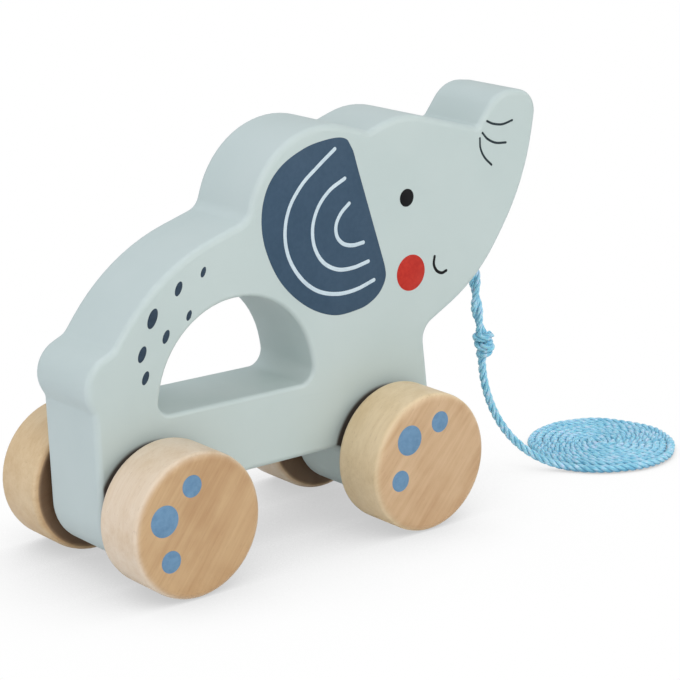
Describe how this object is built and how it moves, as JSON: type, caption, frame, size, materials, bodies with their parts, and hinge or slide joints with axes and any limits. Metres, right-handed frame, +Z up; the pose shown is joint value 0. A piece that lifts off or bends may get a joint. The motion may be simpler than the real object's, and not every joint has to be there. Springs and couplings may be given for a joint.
{
  "type": "pull along toy",
  "caption": "Wooden pull-along elephant on four wheels, with a half-moon hand opening through its slab body and a knotted cord from its chin.",
  "frame": {"origin": "on the floor, under the middle of the slab's thickness and half-way along the toy with its cord laid out", "axes": "+X towards the head and the laid-out cord, +Y to the elephant's left, +Z up"},
  "size_m": [0.267, 0.0841, 0.147],
  "materials": {
    "slab_paint": "satin blue-grey paint on wood, with dark blue, black, red and grey-green printed features",
    "wheel_wood": "clear-lacquered maple, with printed mid-blue dots on the outer faces",
    "axle_wood": "plain birch dowel",
    "washer_wood": "plain birch",
    "cord": "light blue twisted cord"
  },
  "bodies": {
    "elephant": {"elephant_body": "slab_paint", "cord_anchor": "cord"},
    "rear_wheelset": {"rear_axle": "axle_wood", "rear_left_wheel": "wheel_wood", "rear_right_wheel": "wheel_wood", "rear_left_washer": "washer_wood", "rear_right_washer": "washer_wood"},
    "front_wheelset": {"front_axle": "axle_wood", "front_left_wheel": "wheel_wood", "front_right_wheel": "wheel_wood", "front_left_washer": "washer_wood", "front_right_washer": "washer_wood"},
    "cord_loop": {"cord_upper": "cord"},
    "knot": {"cord_knot": "cord"},
    "cord_lead": {"cord_lower": "cord"},
    "coil": {"cord_coil": "cord"}
  },
  "joints": [
    {"name": "rear_axle_spin", "type": "hinge", "parent": "elephant", "child": "rear_wheelset", "pos_m": [-0.108, 0, 0.025], "axis": [0, 1, 0], "continuous": true},
    {"name": "front_axle_spin", "type": "hinge", "parent": "elephant", "child": "front_wheelset", "pos_m": [-0.0075, 0, 0.025], "axis": [0, 1, 0], "continuous": true},
    {"name": "cord_swing", "type": "hinge", "parent": "elephant", "child": "cord_loop", "pos_m": [0.05056, 0, 0.09403], "axis": [0, -1, 0], "range_deg": [-20, 90]},
    {"name": "cord_sway", "type": "hinge", "parent": "cord_loop", "child": "knot", "pos_m": [0.0524, 0, 0.0555], "axis": [1, 0, 0], "range_deg": [-35, 35]},
    {"name": "cord_bend", "type": "hinge", "parent": "knot", "child": "cord_lead", "pos_m": [0.054, 0, 0.0414], "axis": [0, -1, 0], "range_deg": [-35, 45]},
    {"name": "cord_lift", "type": "hinge", "parent": "cord_lead", "child": "coil", "pos_m": [0.07998, -0.03248, 0.0017], "axis": [0, -1, 0], "range_deg": [-50, 40]}
  ]
}
